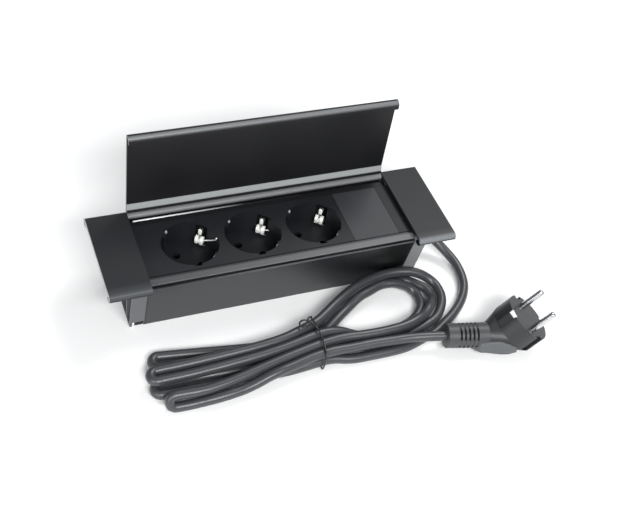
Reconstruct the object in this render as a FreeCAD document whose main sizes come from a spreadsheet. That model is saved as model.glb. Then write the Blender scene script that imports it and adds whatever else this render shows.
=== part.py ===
import FreeCAD, Part
import math
import os
import Sketcher

# An in-desk power strip with a folding lid, its mains cord and its plug.
# Frame: X runs along the strip, -Y is the side that the user sits at, +Z is up.
# The origin lies on the supporting surface, under the middle of the strip with its lid open.
# All lengths are millimetres and all angles degrees.

doc = FreeCAD.newDocument("in_desk_power_strip")
Vector = FreeCAD.Vector
sheet = doc.addObject("Spreadsheet::Sheet", "sizes")
row = 0
parts = []
cuts = []


class Size:
    """A length that keeps its number and the sheet formula that gives it."""

    def __init__(self, number, formula):
        self.number = float(number)
        self.formula = formula

    def __add__(self, other):
        other = as_size(other)
        return Size(self.number + other.number, f"({self.formula} + {other.formula})")

    def __sub__(self, other):
        other = as_size(other)
        return Size(self.number - other.number, f"({self.formula} - {other.formula})")

    def __mul__(self, other):
        other = as_size(other)
        return Size(self.number * other.number, f"{self.formula} * {other.formula}")

    def __truediv__(self, other):
        other = as_size(other)
        return Size(self.number / other.number, f"({self.formula} / {other.formula})")

    def __neg__(self):
        return Size(-self.number, f"(0 - {self.formula})")

    def __radd__(self, other):
        return as_size(other) + self

    def __rsub__(self, other):
        return as_size(other) - self

    def __rmul__(self, other):
        return as_size(other) * self

    def __rtruediv__(self, other):
        return as_size(other) / self


def as_size(value):
    return value if isinstance(value, Size) else Size(value, f"({value})")


def cell(alias, number):
    """Writes one driving dimension into the sheet."""
    global row
    row += 1
    sheet.set(f"A{row}", alias)
    sheet.set(f"B{row}", str(number))
    sheet.setAlias(f"B{row}", alias)
    return Size(number, f"sizes.{alias}")


def bind(thing, path, value):
    """Sets a property of thing from a size."""
    thing.setExpression(path, as_size(value).formula)


# Helpers for bodies with sketches.

def new_body(label):
    body = doc.addObject("PartDesign::Body", label)
    body.Label = label
    parts.append(body)
    return body


def place(thing, x=0, y=0, z=0):
    for axis, value in zip("xyz", (x, y, z)):
        bind(thing, f"Placement.Base.{axis}", value)


def new_sketch(body, role, lift=0, x=0, y=0, angle=0):
    """A sketch on an origin plane of its body, lifted along the plane's normal and turned in it."""
    sketch = body.newObject("Sketcher::SketchObject", body.Label + "_sketch")
    plane = [item for item in body.Origin.OriginFeatures if item.Role == role][0]
    sketch.AttachmentSupport = [(plane, "")]
    sketch.MapMode = "FlatFace"
    sketch.AttachmentOffset = FreeCAD.Placement(Vector(0, 0, 0), FreeCAD.Rotation(Vector(0, 0, 1), 0.0))
    for axis, value in zip("xyz", (x, y, lift)):
        bind(sketch, f"AttachmentOffset.Base.{axis}", value)
    if angle:
        bind(sketch, "AttachmentOffset.Rotation.Angle", angle)
    return sketch


def constrain(sketch, kind, item, point, value):
    value = as_size(value)
    arguments = (kind, item, value.number) if point is None else (kind, item, point, value.number)
    number = sketch.addConstraint(Sketcher.Constraint(*arguments))
    if "sizes" in value.formula:
        sketch.setExpression(f"Constraints[{number}]", value.formula)


def add_arc(sketch, start, end, radius, turn):
    """An arc of under a half circle; a turn of 1 goes anticlockwise and -1 clockwise."""
    chord = end - start
    side = Vector(-chord.y, chord.x, 0).normalize() * turn
    centre = (start + end) * 0.5 + side * math.sqrt(max(radius ** 2 - (chord.Length / 2) ** 2, 0))
    first, last = (start, end) if turn > 0 else (end, start)
    angles = [math.atan2(p.y - centre.y, p.x - centre.x) for p in (first, last)]
    circle = Part.Circle(centre, Vector(0, 0, 1), radius)
    sketch.addGeometry(Part.ArcOfCircle(circle, angles[0], angles[1]), False)


def outline(sketch, points):
    """A closed loop. A point is (x, y), or (x, y, radius, turn) where an arc leads to it."""
    count = len(points)
    base = sketch.GeometryCount
    spots = [Vector(as_size(p[0]).number, as_size(p[1]).number, 0) for p in points]
    ends = []
    for i in range(count):
        following = points[(i + 1) % count]
        if len(following) == 2:
            sketch.addGeometry(Part.LineSegment(spots[i], spots[(i + 1) % count]), False)
            ends.append((1, 2))
        else:
            radius, turn = as_size(following[2]), following[3]
            add_arc(sketch, spots[i], spots[(i + 1) % count], radius.number, turn)
            ends.append((1, 2) if turn > 0 else (2, 1))
            constrain(sketch, "Radius", base + i, None, radius)
    for i in range(count):
        j = (i + 1) % count
        joint = Sketcher.Constraint("Coincident", base + i, ends[i][1], base + j, ends[j][0])
        sketch.addConstraint(joint)
    for i, point in enumerate(points):
        constrain(sketch, "DistanceX", base + i, ends[i][0], point[0])
        constrain(sketch, "DistanceY", base + i, ends[i][0], point[1])


def rectangle(sketch, x0, y0, x1, y1):
    outline(sketch, [(x0, y0), (x1, y0), (x1, y1), (x0, y1)])


def circle(sketch, x, y, radius):
    x, y, radius = as_size(x), as_size(y), as_size(radius)
    centre = Vector(x.number, y.number, 0)
    item = sketch.addGeometry(Part.Circle(centre, Vector(0, 0, 1), radius.number), False)
    constrain(sketch, "DistanceX", item, 3, x)
    constrain(sketch, "DistanceY", item, 3, y)
    constrain(sketch, "Radius", item, None, radius)


def pad(body, sketch, length):
    feature = body.newObject("PartDesign::Pad", body.Label + "_pad")
    feature.Profile = sketch
    bind(feature, "Length", length)
    return feature


def pocket(body, sketch, length):
    """Cuts against the sketch's normal."""
    feature = body.newObject("PartDesign::Pocket", body.Label + "_pocket")
    feature.Profile = sketch
    bind(feature, "Length", length)
    cuts.append(feature)
    return feature


def revolve(body, sketch, axis):
    feature = body.newObject("PartDesign::Revolution", body.Label + "_turned")
    feature.Profile = sketch
    feature.ReferenceAxis = (sketch, [axis])
    feature.Angle = 360
    return feature


def repeat_round(body, features, count):
    """Repeats features about the body's own Z axis."""
    pattern = body.newObject("PartDesign::PolarPattern", body.Label + "_round")
    pattern.Originals = features
    axis = [item for item in body.Origin.OriginFeatures if item.Role == "Z_Axis"][0]
    pattern.Axis = (axis, [""])
    pattern.Angle = 360
    pattern.Occurrences = count
    body.Tip = pattern
    return pattern


# Helpers for plain solids and their sums.

def block(x, y, z, length, width, height):
    """A box from its lowest corner."""
    item = doc.addObject("Part::Box", "block")
    for name, value in zip(("Length", "Width", "Height"), (length, width, height)):
        bind(item, name, value)
    place(item, x, y, z)
    return item


def rod(x, y, z, radius, length, along="z"):
    item = doc.addObject("Part::Cylinder", "rod")
    bind(item, "Radius", radius)
    bind(item, "Height", length)
    turns = {"x": (Vector(0, 1, 0), 90), "y": (Vector(1, 0, 0), -90), "z": (Vector(0, 0, 1), 0)}
    item.Placement = FreeCAD.Placement(Vector(0, 0, 0), FreeCAD.Rotation(*turns[along]))
    place(item, x, y, z)
    return item


def joined(items):
    fuse = doc.addObject("Part::MultiFuse", "joined")
    fuse.Shapes = items
    return fuse


def less(base, tool):
    item = doc.addObject("Part::Cut", "less")
    item.Base = base
    item.Tool = tool
    return item


def named(item, label):
    item.Label = label
    parts.append(item)
    return item


def made(label, shape, placement=None):
    item = doc.addObject("Part::Feature", label)
    item.Label = label
    item.Shape = shape
    if placement is not None:
        item.Placement = placement
    parts.append(item)
    return item


# Overall sizes. Setbacks are measured from the front line of the cover plates towards the rear.
strip_length = cell("strip_length", 248.6)
strip_height = cell("strip_height", 52.5)
cover_length = cell("cover_length", 28.5)
cover_thickness = cell("cover_thickness", 2.0)
hinge_setback = cell("hinge_setback", 72.2)
hinge_drop = cell("hinge_drop", 3.5)
front_line = -(hinge_setback + hinge_drop) / 2
cover_edge = strip_length / 2 - cover_length

# The extruded channel that hangs in the desk. Its walls lean in towards the foot.
channel_setback = cell("channel_setback", 8.0)
channel_rear_margin = cell("channel_rear_margin", 4.7)
channel_depth = hinge_setback - channel_setback - channel_rear_margin
channel_drop = cell("channel_drop", 8.4)
channel_height = strip_height - channel_drop
channel_lean = cell("channel_lean", 7.9)
channel_wall = cell("channel_wall", 2.0)
channel_floor = cell("channel_floor", 2.0)
cover_overhang = cell("cover_overhang", 17.3)
body_length = strip_length - cover_overhang * 2
end_cap_length = cell("end_cap_length", 11.0)
channel_front = front_line + channel_setback
channel_rear = channel_front + channel_depth
channel_middle = channel_front + channel_depth / 2
channel_end = body_length / 2 - end_cap_length
screw_boss_radius = cell("screw_boss_radius", 3.3)
screw_radius = cell("screw_radius", 1.5)
screw_head_radius = cell("screw_head_radius", 2.1)
screw_head_height = cell("screw_head_height", 1.9)
low_boss_height = cell("low_boss_height", 6.5)
high_boss_height = cell("high_boss_height", 23.4)


def wall_inset(height, side):
    """How far the channel's wall stands in from its top edge at a height; side is 1 front, -1 rear."""
    return side * channel_lean * (1 - height / channel_height)


def wall_face(height, side):
    edge = channel_front if side > 0 else channel_rear
    return edge + wall_inset(height, side)


def boss_spots():
    """The four screw channels: y and z of each."""
    spots = []
    for side in (1, -1):
        for height in (low_boss_height, high_boss_height):
            y = wall_face(height, side) + side * (channel_wall + screw_boss_radius * 0.85)
            spots.append((y, height))
    return spots


housing = new_body("housing_profile")
section = new_sketch(housing, "YZ_Plane", -channel_end)
outline(section, [
    (channel_front, channel_height), (wall_face(0, 1), 0), (wall_face(0, -1), 0),
    (channel_rear, channel_height), (channel_rear - channel_wall, channel_height),
    (wall_face(channel_floor, -1) - channel_wall, channel_floor),
    (wall_face(channel_floor, 1) + channel_wall, channel_floor),
    (channel_front + channel_wall, channel_height)])
pad(housing, section, channel_end * 2)
for y, z in boss_spots():
    section = new_sketch(housing, "YZ_Plane", -channel_end)
    circle(section, y, z, screw_boss_radius)
    pad(housing, section, channel_end * 2)
section = new_sketch(housing, "YZ_Plane", channel_end)
for y, z in boss_spots():
    circle(section, y, z, screw_radius)
pocket(housing, section, channel_end * 2)

# The moulded end caps close the channel. Their outer side is open, with one rib.
cover_underside = strip_height - cover_thickness
end_web = cell("end_web", 2.5)
end_step = cell("end_step", 1.2)
end_block_depth = cell("end_block_depth", 52.3)
end_rear_drop = cell("end_rear_drop", 2.6)
notch_length = cell("notch_length", 8.0)
notch_height = cell("notch_height", 5.0)
notch_offset = cell("notch_offset", 1.5)
notch_depth = cell("notch_depth", 4.0)
cover_boss_radius = cell("cover_boss_radius", 3.0)
cover_boss_height = cell("cover_boss_height", 3.0)
cover_boss_inset = cell("cover_boss_inset", 5.5)
cover_boss_front = cell("cover_boss_front", 12.0)
cover_boss_pitch = cell("cover_boss_pitch", 30.0)
gland_offset = cell("gland_offset", 4.0)
gland_height = cell("gland_height", 19.0)
gland_radius = cell("gland_radius", 6.0)
gland_collar = cell("gland_collar", 2.5)
gland_collar_radius = cell("gland_collar_radius", 7.5)
gland_recess = cell("gland_recess", 0.3)
gland_y = channel_middle + gland_offset
end_top_front = channel_front + end_step
end_top_rear = end_top_front + end_block_depth
cover_boss_x = channel_end + cover_boss_inset
cover_boss_ys = [end_top_front + cover_boss_front, end_top_front + cover_boss_front + cover_boss_pitch]
shelf_length = cell("shelf_length", 10.0)
shelf_depth = cell("shelf_depth", 24.0)
shelf_thickness = cell("shelf_thickness", 5.0)
cord_radius = cell("cord_radius", 3.5)
shelf_top = gland_height - cord_radius


def end_cap(label, side):
    """One end cap. It is drawn at the right end and turned round for the left one."""
    body = new_body(label)
    section = new_sketch(body, "YZ_Plane", channel_end)
    rear = channel_rear - end_step
    outline(section, [
        (channel_front, channel_height), (wall_face(0, 1), 0), (wall_face(0, -1), 0),
        (channel_rear, channel_height), (rear, channel_height),
        (rear, cover_underside - end_rear_drop), (end_top_rear, cover_underside - end_rear_drop),
        (end_top_rear, cover_underside), (end_top_front, cover_underside),
        (end_top_front, channel_height)])
    pad(body, section, end_cap_length)
    section = new_sketch(body, "YZ_Plane", channel_end + end_cap_length)
    step_height = channel_height - channel_wall
    outline(section, [
        (end_top_front + channel_wall, cover_underside - channel_wall),
        (end_top_front + channel_wall, step_height),
        (wall_face(step_height, 1) + channel_wall, step_height),
        (wall_face(channel_floor, 1) + channel_wall, channel_floor),
        (wall_face(channel_floor, -1) - channel_wall, channel_floor),
        (wall_face(step_height, -1) - channel_wall, step_height),
        (rear - channel_wall, step_height),
        (rear - channel_wall, cover_underside - end_rear_drop - channel_wall),
        (end_top_rear - channel_wall, cover_underside - end_rear_drop - channel_wall),
        (end_top_rear - channel_wall, cover_underside - channel_wall)])
    pocket(body, section, end_cap_length - end_web)
    rib_y = wall_face(0, 1) + channel_wall * 4
    section = new_sketch(body, "YZ_Plane", channel_end)
    rectangle(section, rib_y, channel_floor / 2, rib_y + channel_wall,
              cover_underside - channel_wall / 2)
    pad(body, section, end_cap_length)
    section = new_sketch(body, "YZ_Plane", channel_end + end_cap_length)
    for y, z in boss_spots():
        circle(section, y, z, screw_radius)
    if side > 0:
        circle(section, gland_y, gland_height, gland_radius)
    pocket(body, section, end_cap_length)
    section = new_sketch(body, "XY_Plane", cover_underside)
    for y in cover_boss_ys:
        circle(section, cover_boss_x, y, cover_boss_radius)
    pocket(body, section, channel_wall * 2)
    section = new_sketch(body, "XY_Plane", notch_height)
    notch_end = channel_end + end_cap_length - notch_offset
    front = wall_face(notch_height, 1)
    rectangle(section, notch_end - notch_length, front - channel_wall, notch_end, front + notch_depth)
    pocket(body, section, notch_height)
    if side > 0:
        section = new_sketch(body, "XY_Plane", shelf_top - shelf_thickness)
        rectangle(section, channel_end - shelf_length, gland_y - shelf_depth / 2,
                  channel_end, gland_y + shelf_depth / 2)
        pad(body, section, shelf_thickness)
        section = new_sketch(body, "XY_Plane", shelf_top)
        for offset in (-1, 1):
            circle(section, channel_end - shelf_length / 2, gland_y + offset * shelf_depth / 3,
                   screw_radius)
        pocket(body, section, shelf_thickness)
        section = new_sketch(body, "YZ_Plane", channel_end)
        circle(section, gland_y, gland_height, gland_collar_radius + gland_recess)
        pocket(body, section, gland_collar + gland_recess)
    else:
        mirrored(body)
    return body


def mirrored(body):
    """Turns a body that was drawn at the right end into its mirror image at the left end."""
    parts.remove(body)
    twin = doc.addObject("Part::Mirroring", body.Label + "_mirror")
    twin.Source = body
    twin.Normal = Vector(1, 0, 0)
    twin.Base = Vector(0, 0, 0)
    label = body.Label
    body.Label = label + "_master"
    return named(twin, label)


end_cap("right_end_cap", 1)
end_cap("left_end_cap", -1)

# The cover plates and the lid are lengths of one extrusion: a flat plate with a rolled nose in
# front and a hinge barrel behind.
nose_radius = cell("nose_radius", 3.25)
nose_lip = cell("nose_lip", 2.5)
barrel_radius = cell("barrel_radius", 2.8)
barrel_blend = cell("barrel_blend", 3.3)
pin_radius = cell("pin_radius", 1.5)
pin_clearance = cell("pin_clearance", 0.05)
ramp_near = cell("ramp_near", 3.9)
ramp_far = cell("ramp_far", 10.1)
ramp_depth = cell("ramp_depth", 0.5)
groove_height = cell("groove_height", 0.8)
lid_gap = cell("lid_gap", 0.4)
hinge_y = front_line + hinge_setback
hinge_z = strip_height - hinge_drop


def cover_section(sketch):
    inner = nose_radius - cover_thickness
    middle_y = front_line + nose_radius
    middle_z = strip_height - nose_radius
    underside = strip_height - cover_thickness
    outline(sketch, [
        (hinge_y - ramp_far, underside),
        (middle_y, underside),
        (middle_y - inner, middle_z, inner, 1),
        (middle_y, middle_z - inner, inner, 1),
        (middle_y + nose_lip, middle_z - inner),
        (middle_y + nose_lip, middle_z - nose_radius),
        (middle_y, middle_z - nose_radius),
        (front_line, middle_z, nose_radius, -1),
        (middle_y, strip_height, nose_radius, -1),
        (hinge_y, strip_height),
        (hinge_y + barrel_radius, hinge_z, barrel_blend, -1),
        (hinge_y, hinge_z - barrel_radius, barrel_radius, -1),
        (hinge_y - barrel_radius, hinge_z, barrel_radius, -1),
        (hinge_y - barrel_radius, hinge_z + groove_height),
        (hinge_y - ramp_near, hinge_z + groove_height),
        (hinge_y - ramp_near, hinge_z - ramp_depth)])
    circle(sketch, hinge_y, hinge_z, pin_radius + pin_clearance)


def cover_plate(label, side):
    body = new_body(label)
    section = new_sketch(body, "YZ_Plane", cover_edge)
    cover_section(section)
    pad(body, section, cover_length)
    section = new_sketch(body, "XY_Plane", cover_underside - cover_boss_height)
    for y in cover_boss_ys:
        circle(section, cover_boss_x, y, cover_boss_radius)
    pad(body, section, cover_boss_height)
    section = new_sketch(body, "XY_Plane", cover_underside)
    for y in cover_boss_ys:
        circle(section, cover_boss_x, y, screw_radius)
    pocket(body, section, cover_boss_height)
    return body if side > 0 else mirrored(body)


cover_plate("right_cover_plate", 1)
cover_plate("left_cover_plate", -1)

# The lid stands open at a right angle, its modelled rest, and turns forward to close.
lid = new_body("lid_panel")
section = new_sketch(lid, "YZ_Plane", -(cover_edge - lid_gap))
cover_section(section)
pad(lid, section, (cover_edge - lid_gap) * 2)
lid.Placement = FreeCAD.Placement(Vector(0, 0, 0), FreeCAD.Rotation(Vector(1, 0, 0), -90))
place(lid, 0, hinge_y - hinge_z, hinge_z + hinge_y)

# Two stepped steel pins: the thick half is pressed into the lid, the thin half turns in a cover.
pin_reach = cell("pin_reach", 12.0)


def hinge_pin(side):
    edge = cover_edge - lid_gap
    thick = rod(edge - pin_reach, hinge_y, hinge_z, pin_radius + pin_clearance, pin_reach, "x")
    thin = rod(edge, hinge_y, hinge_z, pin_radius, pin_reach, "x")
    pair = joined([thick, thin])
    if side > 0:
        return pair
    twin = doc.addObject("Part::Mirroring", "pin_mirror")
    twin.Source = pair
    twin.Normal = Vector(1, 0, 0)
    return twin


named(joined([hinge_pin(1), hinge_pin(-1)]), "hinge_pins")

# The deck: two rails on the channel's top edges, and modules between them.
deck_drop = cell("deck_drop", 4.5)
deck_top = strip_height - deck_drop
module_setback = cell("module_setback", 7.6)
module_rear_margin = cell("module_rear_margin", 4.6)
module_depth = channel_depth - module_setback - module_rear_margin
module_gap = cell("module_gap", 0.1)
plate_thickness = cell("plate_thickness", 3.0)
socket_pitch = cell("socket_pitch", 45.0)
socket_middle = cell("socket_middle", -15.0)
blank_width = cell("blank_width", 34.7)
skirt_height = cell("skirt_height", 5.0)
skirt_wall = cell("skirt_wall", 1.5)
module_front = channel_front + module_setback
module_rear = module_front + module_depth
module_y = module_front + module_depth / 2
plate_underside = deck_top - plate_thickness
rail_step = cell("rail_step", 1.0)
rail_lip_low = cell("rail_lip_low", 1.8)
rail_edge = cell("rail_edge", 0.6)
rail_strip = cell("rail_strip", 5.0)
rail_sink = cell("rail_sink", 0.4)
rail_ledge = cell("rail_ledge", 1.5)
rail_hang = cell("rail_hang", 0.5)
rail_clearance = cell("rail_clearance", 0.2)
rear_flange = cell("rear_flange", 1.0)
rear_flange_reach = cell("rear_flange_reach", 4.6)

front_rail = new_body("front_rail")
section = new_sketch(front_rail, "YZ_Plane", -channel_end)
outline(section, [
    (channel_front + rail_step, channel_height),
    (channel_front + rail_step, deck_top - rail_lip_low),
    (channel_front, deck_top - rail_lip_low),
    (channel_front, deck_top - rail_edge),
    (channel_front + rail_edge, deck_top, rail_edge, -1),
    (channel_front + rail_strip, deck_top),
    (channel_front + rail_strip, deck_top - rail_sink),
    (module_front - module_gap, deck_top - rail_sink),
    (module_front - module_gap, plate_underside),
    (module_front + rail_ledge, plate_underside),
    (module_front + rail_ledge, channel_height - rail_hang),
    (channel_front + channel_wall + rail_clearance, channel_height - rail_hang),
    (channel_front + channel_wall + rail_clearance, channel_height)])
pad(front_rail, section, channel_end * 2)

rear_rail = new_body("rear_rail")
section = new_sketch(rear_rail, "YZ_Plane", -channel_end)
rail_rear = channel_rear + rail_edge
outline(section, [
    (channel_rear + rear_flange_reach, channel_height),
    (channel_rear - channel_wall - rail_clearance, channel_height),
    (channel_rear - channel_wall - rail_clearance, channel_height - rail_hang),
    (module_rear - rail_ledge, channel_height - rail_hang),
    (module_rear - rail_ledge, plate_underside),
    (module_rear + module_gap, plate_underside),
    (module_rear + module_gap, deck_top),
    (rail_rear - rail_edge, deck_top),
    (rail_rear, deck_top - rail_edge, rail_edge, -1),
    (rail_rear, deck_top - rail_lip_low),
    (channel_rear - rail_step, deck_top - rail_lip_low),
    (channel_rear - rail_step, channel_height + rear_flange),
    (channel_rear + rear_flange_reach, channel_height + rear_flange)])
pad(rear_rail, section, channel_end * 2)

# The socket modules. Each well takes an earthed plug with two round pins, and is turned in the
# deck so that its pin line runs from rear left to front right.
well_radius = cell("well_radius", 19.9)
well_depth = cell("well_depth", 17.5)
well_wall = cell("well_wall", 2.0)
well_floor = cell("well_floor", 2.5)
pin_line = cell("pin_line", 140.0)
contact_pitch = cell("contact_pitch", 19.0)
contact_hole = cell("contact_hole", 2.75)
guide_width = cell("guide_width", 4.0)
guide_reach = cell("guide_reach", 1.5)
guide_drop = cell("guide_drop", 1.5)
clip_slot = cell("clip_slot", 8.4)
clip_slot_inner = cell("clip_slot_inner", 17.3)
rim_notch_length = cell("rim_notch_length", 5.0)
rim_notch_depth = cell("rim_notch_depth", 1.5)
rim_chamfer = cell("rim_chamfer", 0.5)
tube_radius = well_radius + well_wall
well_bottom = well_depth + well_floor
socket_xs = [socket_middle + k * socket_pitch for k in (-1, 0, 1)]


def socket_module(label, x):
    """One module, drawn about its own centre with the deck's top at height 0."""
    body = new_body(label)
    section = new_sketch(body, "XY_Plane", -plate_thickness)
    rectangle(section, -socket_pitch / 2, -module_depth / 2, socket_pitch / 2, module_depth / 2)
    pad(body, section, plate_thickness)
    section = new_sketch(body, "XY_Plane", -well_bottom)
    circle(section, 0, 0, tube_radius)
    pad(body, section, well_bottom - plate_thickness / 2)
    section = new_sketch(body, "XY_Plane")
    circle(section, 0, 0, well_radius)
    pocket(body, section, well_depth)
    section = new_sketch(body, "XY_Plane", -well_depth, angle=pin_line)
    rectangle(section, well_radius - guide_reach, -guide_width / 2,
              well_radius + well_wall / 2, guide_width / 2)
    guide = pad(body, section, well_depth - guide_drop)
    repeat_round(body, [guide], 2)
    section = new_sketch(body, "XY_Plane", -well_depth, angle=pin_line)
    circle(section, contact_pitch / 2, 0, contact_hole)
    circle(section, -contact_pitch / 2, 0, contact_hole)
    pocket(body, section, well_floor)
    section = new_sketch(body, "XY_Plane", -guide_drop, angle=pin_line - 90)
    for side in (1, -1):
        rectangle(section, side * clip_slot_inner, -clip_slot / 2,
                  side * (tube_radius + rail_clearance), clip_slot / 2)
    pocket(body, section, well_bottom)
    section = new_sketch(body, "XY_Plane")
    rectangle(section, -rim_notch_length / 2, -(well_radius + rim_notch_depth),
              rim_notch_length / 2, -(well_radius - rim_notch_depth))
    pocket(body, section, rim_notch_depth)
    place(body, x, module_y, deck_top)
    return body


for number, x in enumerate(socket_xs, 1):
    socket_module(f"socket_module_{number}", x)


def deck_plate(label, start, end, lift_skirt):
    """A plain module: a plate with a skirt below it."""
    body = new_body(label)
    section = new_sketch(body, "XY_Plane", plate_underside)
    rectangle(section, start, module_front, end, module_rear)
    pad(body, section, plate_thickness)
    if lift_skirt:
        inset = rail_ledge + rail_clearance
        section = new_sketch(body, "XY_Plane", plate_underside - skirt_height)
        rectangle(section, start + skirt_wall, module_front + inset,
                  end - skirt_wall, module_rear - inset)
        rectangle(section, start + skirt_wall * 2, module_front + inset + skirt_wall,
                  end - skirt_wall * 2, module_rear - inset - skirt_wall)
        pad(body, section, skirt_height)
    return body


sockets_left = socket_xs[0] - socket_pitch / 2
sockets_right = socket_xs[2] + socket_pitch / 2
deck_plate("blank_module", sockets_right + module_gap, sockets_right + blank_width, True)
deck_plate("left_deck_filler", -channel_end, sockets_left, True)
deck_plate("right_deck_filler", sockets_right + blank_width + module_gap, channel_end, False)

# The earth clips: in each module a spring strap passes under the well and rises on both sides.
clip_thickness = cell("clip_thickness", 0.8)
clip_width = cell("clip_width", 7.5)
tongue_width = cell("tongue_width", 3.4)
clip_half_width = cell("clip_half_width", 21.3)
clip_knee = cell("clip_knee", 17.2)
clip_shoulder = cell("clip_shoulder", 14.2)
clip_shoulder_radius = cell("clip_shoulder_radius", 18.9)
clip_belly = cell("clip_belly", 8.5)
clip_belly_radius = cell("clip_belly_radius", 18.3)
clip_tip = cell("clip_tip", 2.6)
clip_tip_radius = cell("clip_tip_radius", 19.3)
tongue_start = cell("tongue_start", 11.8)


def earth_clip(label, x):
    body = new_body(label)
    section = new_sketch(body, "XZ_Plane", -clip_width / 2)
    under = -(well_bottom + clip_thickness)
    outline(section, [
        (-clip_thickness, under), (clip_half_width, under), (clip_half_width, -clip_knee),
        (clip_shoulder_radius, -clip_shoulder), (clip_belly_radius, -clip_belly),
        (clip_tip_radius, -clip_tip), (clip_tip_radius - clip_thickness, -clip_tip),
        (clip_belly_radius - clip_thickness, -clip_belly),
        (clip_shoulder_radius - clip_thickness, -clip_shoulder),
        (clip_half_width - clip_thickness, -clip_knee), (clip_half_width - clip_thickness, -well_bottom),
        (-clip_thickness, -well_bottom)])
    strap = pad(body, section, clip_width)
    section = new_sketch(body, "XY_Plane")
    for side in (1, -1):
        rectangle(section, clip_belly_radius - clip_thickness * 3, side * tongue_width / 2,
                  clip_half_width + clip_thickness, side * clip_width)
    tongue = pocket(body, section, tongue_start)
    repeat_round(body, [strap, tongue], 2)
    body.Placement = FreeCAD.Placement(Vector(0, 0, 0), FreeCAD.Rotation(Vector(0, 0, 1), 0))
    place(body, x, module_y, deck_top)
    bind(body, "Placement.Rotation.Angle", pin_line - 90)
    return body


for number, x in enumerate(socket_xs, 1):
    earth_clip(f"earth_clip_{number}", x)

# Below the wells a tray carries the two bus bars. It stands on the channel's floor on feet.
tray_depth = cell("tray_depth", 26.4)
tray_wall = cell("tray_wall", 1.6)
tray_height = cell("tray_height", 8.0)
tray_margin = cell("tray_margin", 2.5)
foot_length = cell("foot_length", 8.0)
bus_thickness = cell("bus_thickness", 0.8)
bus_width = cell("bus_width", 5.0)
bus_overhang = cell("bus_overhang", 6.0)
leaf_width = cell("leaf_width", 6.0)
leaf_gap = cell("leaf_gap", 4.4)
leaf_height = cell("leaf_height", 12.0)
tray_top = deck_top - well_bottom - clip_thickness * 2
tray_left = sockets_left + tray_margin
tray_right = sockets_right - tray_margin

tray = new_body("contact_tray")
section = new_sketch(tray, "XY_Plane", tray_height)
rectangle(section, tray_left, module_y - tray_depth / 2, tray_right, module_y + tray_depth / 2)
pad(tray, section, tray_top - tray_height)
section = new_sketch(tray, "XY_Plane", tray_top)
rectangle(section, tray_left + tray_wall, module_y - tray_depth / 2 + tray_wall,
          tray_right + tray_wall, module_y + tray_depth / 2 - tray_wall)
pocket(tray, section, tray_top - tray_height - tray_wall)
section = new_sketch(tray, "XY_Plane", channel_floor)
for x in socket_xs:
    rectangle(section, x - foot_length / 2, module_y - tray_depth / 3,
              x + foot_length / 2, module_y + tray_depth / 3)
pad(tray, section, tray_height - channel_floor)

bus_bottom = tray_height + tray_wall
pin_line_angle = math.radians(pin_line.number)
contact_x = contact_pitch / 2 * Size(math.cos(pin_line_angle), f"cos({pin_line.formula} * 1deg)")
contact_y = contact_pitch / 2 * Size(math.sin(pin_line_angle), f"sin({pin_line.formula} * 1deg)")


def bus_bar(label, side):
    """A strip with a pair of spring leaves under one pin hole of each well."""
    y = module_y + side * contact_y
    start = tray_left + tray_wall
    items = [block(start, y - bus_width / 2, bus_bottom,
                   tray_right + bus_overhang - start, bus_width, bus_thickness)]
    for x in socket_xs:
        for offset in (-(leaf_gap / 2 + bus_thickness), leaf_gap / 2):
            items.append(block(x + side * contact_x - leaf_width / 2, y + offset, bus_bottom,
                               leaf_width, bus_thickness, leaf_height))
    return named(joined(items), label)


bus_bar("line_bus", 1)
bus_bar("neutral_bus", -1)
named(block(tray_left, module_y - bus_width / 2, tray_top,
            tray_right + bus_overhang - tray_left, bus_width, clip_thickness), "earth_bus")

# The supply side: terminal block, wires, cord clamp and gland.
terminal_start = cell("terminal_start", 60.0)
terminal_length = cell("terminal_length", 14.0)
terminal_depth = cell("terminal_depth", 24.0)
terminal_height = cell("terminal_height", 12.0)
terminal_pitch = cell("terminal_pitch", 7.0)
wire_radius = cell("wire_radius", 1.2)
wire_height = cell("wire_height", 6.0)
terminal_screw = cell("terminal_screw", 2.0)
terminal_screw_length = cell("terminal_screw_length", 4.0)
wire_z = channel_floor + wire_height
terminal_ys = [module_y + k * terminal_pitch for k in (-1, 0, 1)]
terminal_top = channel_floor + terminal_height

blocks = block(terminal_start, module_y - terminal_depth / 2, channel_floor,
               terminal_length, terminal_depth, terminal_height)
holes = []
screws = []
for y in terminal_ys:
    holes.append(rod(terminal_start, y, wire_z, wire_radius, terminal_length, "x"))
    holes.append(rod(terminal_start + terminal_length / 2, y, wire_z, terminal_screw,
                     terminal_height - wire_height))
    screws.append(rod(terminal_start + terminal_length / 2, y, terminal_top - terminal_screw_length,
                      terminal_screw, terminal_screw_length - rail_clearance))
named(less(blocks, joined(holes)), "terminal_block")
named(joined(screws), "terminal_screws")

jacket_length = cell("jacket_length", 12.0)
gland_tip_radius = cell("gland_tip_radius", 4.8)
gland_boot = cell("gland_boot", 16.0)
jacket_end = channel_end - gland_collar
jacket_start = jacket_end - jacket_length
named(rod(jacket_start, gland_y, gland_height, cord_radius, jacket_length, "x"), "cord_inner_end")

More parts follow.
